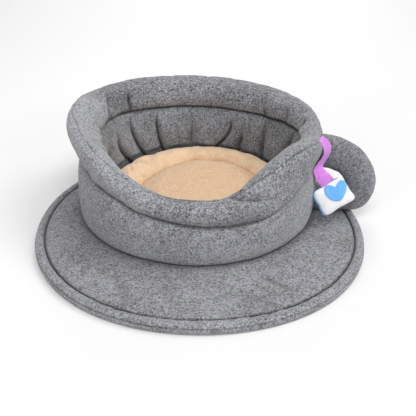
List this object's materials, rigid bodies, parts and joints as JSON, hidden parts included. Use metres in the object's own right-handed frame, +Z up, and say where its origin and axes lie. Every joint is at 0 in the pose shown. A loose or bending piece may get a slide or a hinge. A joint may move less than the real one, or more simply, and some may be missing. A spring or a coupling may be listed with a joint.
{
  "type": "pet bed",
  "caption": "Cup-shaped padded pet bed on a round saucer mat, with a rolled rim low at the front, a gathered lining, a round cushion, a padded side handle and a small ribbon tag.",
  "frame": {"origin": "middle of the saucer's flat underside, on the floor", "axes": "+Z up; -Y towards the low front of the cup; +X towards the handle"},
  "size_m": [0.5669, 0.5405, 0.193],
  "materials": {
    "grey_felt": "melange grey felted fleece",
    "grey_lining": "melange grey felted fleece, a shade darker",
    "peach_plush": "short-pile peach plush",
    "purple_felt": "purple felt",
    "white_felt": "white felt",
    "blue_felt": "blue felt",
    "light_blue_felt": "light blue felt"
  },
  "bodies": {
    "root": {"saucer_mat": "grey_felt", "saucer_edge": "grey_felt", "cup_wall": "grey_felt", "cup_lining": "grey_lining", "rim_roll": "grey_felt", "cushion": "peach_plush", "handle": "grey_felt", "tag_ribbon": "purple_felt", "tag_front": "white_felt", "tag_back": "blue_felt", "tag_heart": "light_blue_felt"}
  },
  "joints": []
}
